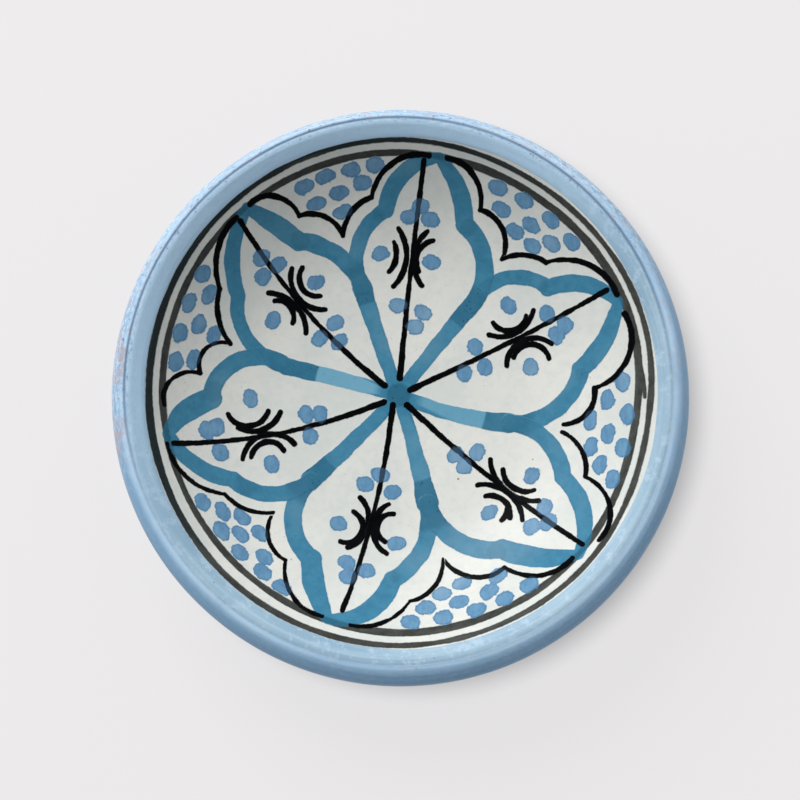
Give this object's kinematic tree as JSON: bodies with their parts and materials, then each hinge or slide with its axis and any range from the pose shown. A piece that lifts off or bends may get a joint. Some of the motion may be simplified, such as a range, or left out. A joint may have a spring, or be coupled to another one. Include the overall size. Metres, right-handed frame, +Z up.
{
  "type": "ceramic dish",
  "caption": "Deep round earthenware plate on a foot ring, with a blue glazed rolled lip and a painted flower inside two banded lines.",
  "frame": {"origin": "centre of the foot ring's underside, on the plane the dish stands on", "axes": "+Z up out of the dish; +Y towards the tip of petal 2; +X to the right when the dish is seen from above with petal 2 at the top"},
  "size_m": [0.1806, 0.1806, 0.0383],
  "materials": {
    "clay": "bare fired red clay",
    "white_glaze": "glossy opaque white glaze",
    "blue_glaze": "glossy light blue glaze with brush streaks",
    "grey_paint": "thinned black underglaze paint, glossy",
    "black_paint": "black underglaze paint, glossy",
    "turquoise_paint": "turquoise brush strokes under a clear gloss",
    "dot_paint": "light blue dabs under a clear gloss"
  },
  "bodies": {
    "root": {"clay_body": "clay", "white_glaze": "white_glaze", "blue_rim_glaze": "blue_glaze", "outer_ring_line": "grey_paint", "inner_ring_line": "grey_paint", "centre_star": "turquoise_paint", "petal_1_dots": "dot_paint", "gap_1_dots": "dot_paint", "petal_1_band": "turquoise_paint", "petal_1_outline": "black_paint", "petal_1_sprig": "black_paint", "petal_1_vein": "black_paint", "petal_2_dots": "dot_paint", "gap_2_dots": "dot_paint", "petal_2_band": "turquoise_paint", "petal_2_outline": "black_paint", "petal_2_sprig": "black_paint", "petal_2_vein": "black_paint", "petal_3_dots": "dot_paint", "gap_3_dots": "dot_paint", "petal_3_band": "turquoise_paint", "petal_3_outline": "black_paint", "petal_3_sprig": "black_paint", "petal_3_vein": "black_paint", "petal_4_dots": "dot_paint", "gap_4_dots": "dot_paint", "petal_4_band": "turquoise_paint", "petal_4_outline": "black_paint", "petal_4_sprig": "black_paint", "petal_4_vein": "black_paint", "petal_5_dots": "dot_paint", "gap_5_dots": "dot_paint", "petal_5_band": "turquoise_paint", "petal_5_outline": "black_paint", "petal_5_sprig": "black_paint", "petal_5_vein": "black_paint", "petal_6_dots": "dot_paint", "gap_6_dots": "dot_paint", "petal_6_band": "turquoise_paint", "petal_6_outline": "black_paint", "petal_6_sprig": "black_paint", "petal_6_vein": "black_paint"}
  },
  "joints": []
}
